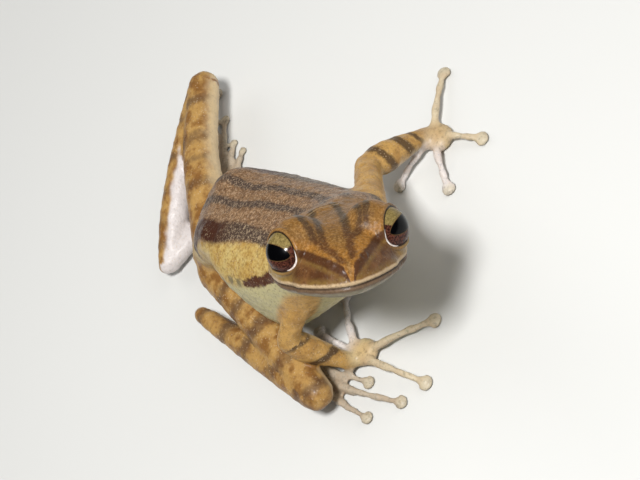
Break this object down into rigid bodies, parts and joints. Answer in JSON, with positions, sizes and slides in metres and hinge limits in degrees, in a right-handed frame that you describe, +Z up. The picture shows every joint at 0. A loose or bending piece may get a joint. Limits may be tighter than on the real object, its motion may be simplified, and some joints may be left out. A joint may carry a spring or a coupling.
{
  "type": "four-lined tree frog model",
  "caption": "Life-size still tree frog that sits with folded hind legs, props its chest on its arms and turns its raised head to its right.",
  "frame": {"origin": "middle of the bounding box in plan, on the floor that the hands, feet and belly's end rest on", "axes": "+Z up, the frog's chest faces -Y and its left side is towards +X"},
  "size_m": [0.0642, 0.0828, 0.042],
  "materials": {
    "back_skin": "fine moist skin, mid-brown with dark lines",
    "limb_skin": "fine moist skin, tan with dark crossbars",
    "pale_skin": "smooth pale skin of palms and soles",
    "eyeball": "wet gloss"
  },
  "bodies": {
    "root": {"torso": "back_skin", "head": "back_skin", "jaw": "back_skin", "eye_left": "eyeball", "upper_arm_left": "limb_skin", "forearm_left": "limb_skin", "thigh_left": "limb_skin", "shin_left": "limb_skin", "tarsus_left": "limb_skin", "finger_left_1": "limb_skin", "finger_left_2": "limb_skin", "finger_left_3": "limb_skin", "finger_left_4": "limb_skin", "toe_left_1": "limb_skin", "toe_left_2": "limb_skin", "toe_left_3": "limb_skin", "toe_left_4": "limb_skin", "toe_left_5": "limb_skin", "hand_left": "pale_skin", "foot_left": "pale_skin", "eye_right": "eyeball", "upper_arm_right": "limb_skin", "forearm_right": "limb_skin", "thigh_right": "limb_skin", "shin_right": "limb_skin", "tarsus_right": "limb_skin", "finger_right_1": "limb_skin", "finger_right_2": "limb_skin", "finger_right_3": "limb_skin", "finger_right_4": "limb_skin", "toe_right_1": "limb_skin", "toe_right_2": "limb_skin", "toe_right_3": "limb_skin", "toe_right_4": "limb_skin", "toe_right_5": "limb_skin", "hand_right": "pale_skin", "foot_right": "pale_skin"}
  },
  "joints": []
}
